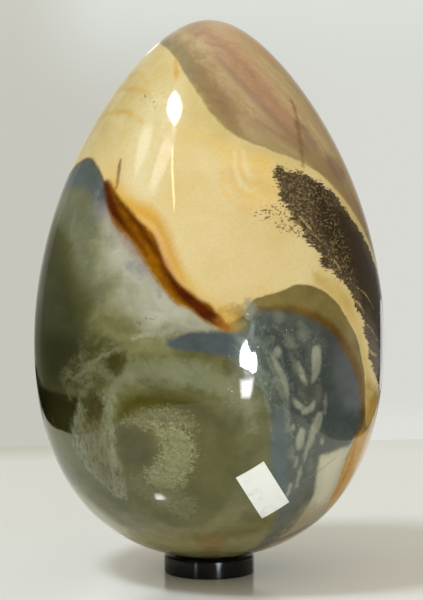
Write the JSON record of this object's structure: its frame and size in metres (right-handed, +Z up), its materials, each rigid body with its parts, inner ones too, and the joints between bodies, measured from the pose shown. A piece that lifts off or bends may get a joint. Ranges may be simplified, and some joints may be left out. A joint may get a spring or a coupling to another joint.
{
  "type": "decorative stone egg on ring stand",
  "caption": "Large polished stone egg standing blunt end down in a low round ring stand, with a small blank paper label stuck on its lower front.",
  "frame": {"origin": "middle of the ring stand's foot, on the surface that the stand rests on", "axes": "+Z up along the axis of the ring and the egg, towards the egg's narrow end; -Y towards the front, where the label is; +X to the right as seen from the front"},
  "size_m": [0.0964, 0.0964, 0.1525],
  "materials": {
    "ring_gloss_black": "glossy black",
    "polished_stone": "mirror polish over cream, olive, rust, mauve and slate grey patches",
    "label_paper": "matte, slightly cockled"
  },
  "bodies": {
    "ring_stand": {"ring_stand": "ring_gloss_black"},
    "egg": {"stone_egg": "polished_stone", "paper_label": "label_paper"}
  },
  "joints": [
    {"name": "egg_lift", "type": "slide", "parent": "ring_stand", "child": "egg", "axis": [0, 0, 1], "range_m": [0, 0.06]}
  ]
}
